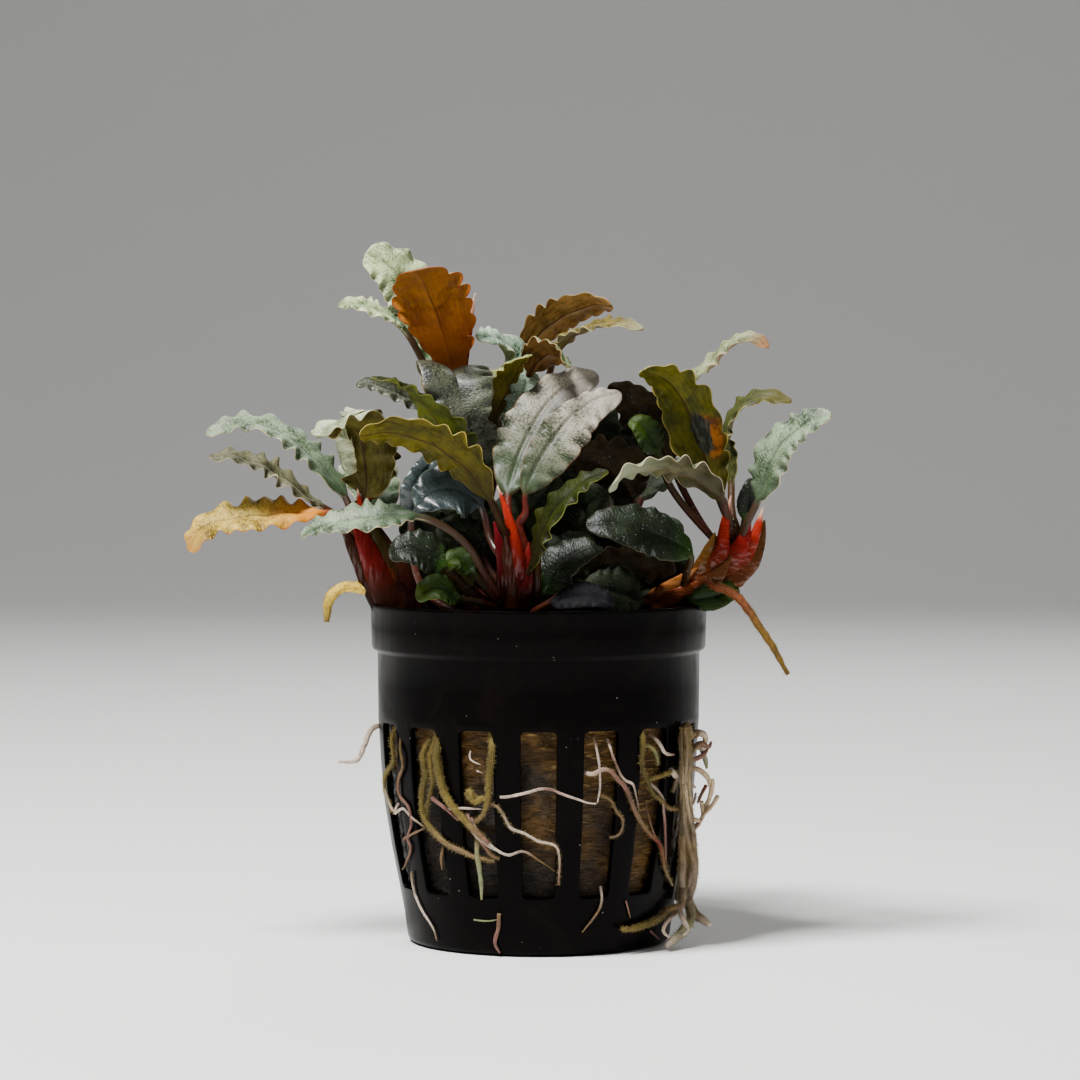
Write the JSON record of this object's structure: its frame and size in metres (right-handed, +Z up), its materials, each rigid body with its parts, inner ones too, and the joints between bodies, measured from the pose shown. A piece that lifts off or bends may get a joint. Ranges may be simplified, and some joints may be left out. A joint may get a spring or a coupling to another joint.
{
  "type": "bucephalandra in net pot",
  "caption": "Potted rosette plant with wavy-edged stalked leaves on red crowns, rooted in a mineral wool plug in a round slotted net pot.",
  "frame": {"origin": "centre of the pot's underside, on the surface that it stands on", "axes": "+Z up along the pot's axis, -Y towards the viewer, +X to the viewer's right"},
  "size_m": [0.0943, 0.0608, 0.1038],
  "materials": {
    "pot_plastic": "satin",
    "mineral_wool": "matte",
    "crown_red": "satin",
    "leaf_silver": "satin",
    "leaf_olive": "satin",
    "leaf_orange": "satin",
    "leaf_dark": "satin",
    "leaf_green": "satin",
    "root_pale": "matte"
  },
  "bodies": {
    "root": {"net_pot": "pot_plastic", "growing_medium": "mineral_wool", "crown_left": "crown_red", "crown_centre": "crown_red", "rhizome_right": "crown_red", "stem_back_left": "crown_red", "stem_back": "crown_red", "stem_back_right": "crown_red", "leaf_left_high": "leaf_silver", "leaf_left_slim": "leaf_silver", "leaf_left_orange": "leaf_orange", "leaf_left_upright": "leaf_olive", "leaf_left_behind": "leaf_olive", "leaf_front_long": "leaf_silver", "leaf_front_olive": "leaf_olive", "leaf_stalked_left": "leaf_silver", "leaf_round_silver": "leaf_silver", "leaf_centre_broad": "leaf_silver", "leaf_centre_front": "leaf_silver", "leaf_front_lime": "leaf_green", "leaf_low_streaked": "leaf_dark", "leaf_rim_violet": "leaf_silver", "leaf_rim_green": "leaf_green", "leaf_low_left": "leaf_dark", "leaf_low_inner": "leaf_dark", "leaf_low_brown": "leaf_dark", "leaf_top_pale": "leaf_silver", "leaf_top_orange": "leaf_orange", "leaf_top_curled": "leaf_silver", "leaf_mid_lime": "leaf_green", "leaf_mid_dark": "leaf_dark", "leaf_mid_grey": "leaf_silver", "leaf_crest_pale": "leaf_silver", "leaf_crest_folded": "leaf_olive", "leaf_crest_brown": "leaf_olive", "leaf_crest_wavy": "leaf_silver", "leaf_crest_small": "leaf_olive", "leaf_right_olive": "leaf_olive", "leaf_right_wavy_high": "leaf_silver", "leaf_right_wavy_low": "leaf_olive", "leaf_right_silver": "leaf_silver", "leaf_right_young": "leaf_dark", "leaf_right_arching": "leaf_silver", "leaf_right_dark": "leaf_dark", "leaf_right_inner": "leaf_dark", "leaf_inner_upright": "leaf_dark", "leaf_inner_brown": "leaf_dark", "leaf_behind_top": "leaf_silver", "leaf_behind_far_left": "leaf_silver", "leaf_behind_middle": "leaf_silver", "leaf_behind_low": "leaf_silver", "leaf_behind_right": "leaf_silver", "leaf_behind_left": "leaf_silver", "root_front_thick": "root_pale", "root_front_branching": "root_pale", "root_front_right": "root_pale", "root_right_bundle": "root_pale", "root_over_rim_left": "root_pale", "root_over_rim_right": "root_pale", "root_side_left": "root_pale"}
  },
  "joints": []
}
